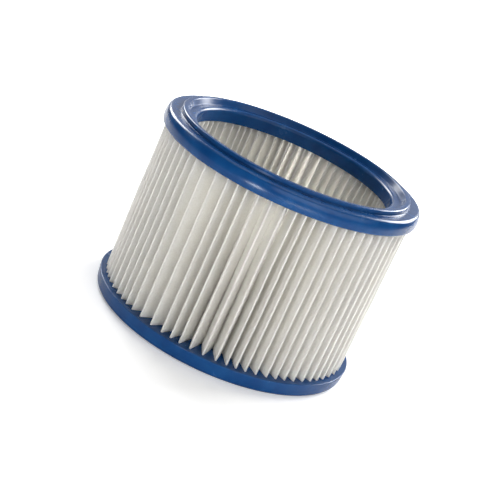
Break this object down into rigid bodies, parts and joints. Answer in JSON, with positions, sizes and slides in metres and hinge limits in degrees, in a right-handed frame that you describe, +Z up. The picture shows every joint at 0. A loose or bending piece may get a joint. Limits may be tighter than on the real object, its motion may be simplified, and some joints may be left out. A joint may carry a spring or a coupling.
{
  "type": "pleated cartridge filter",
  "caption": "Ring-shaped vacuum cleaner filter: fleece pleats between two cast blue end rings, open at both ends, with a raised sealing lip on top.",
  "frame": {"origin": "middle of the underside of the bottom ring, on the filter's axis", "axes": "+Z up along the filter's axis, towards the sealing lip; -Y faces the viewer of the picture"},
  "size_m": [0.187, 0.187, 0.1364],
  "materials": {
    "fleece": "matte off-white polyester fleece",
    "blue_polyurethane": "glossy cast blue polyurethane"
  },
  "bodies": {
    "root": {"pleated_media": "fleece", "bottom_ring": "blue_polyurethane", "top_ring": "blue_polyurethane"}
  },
  "joints": []
}
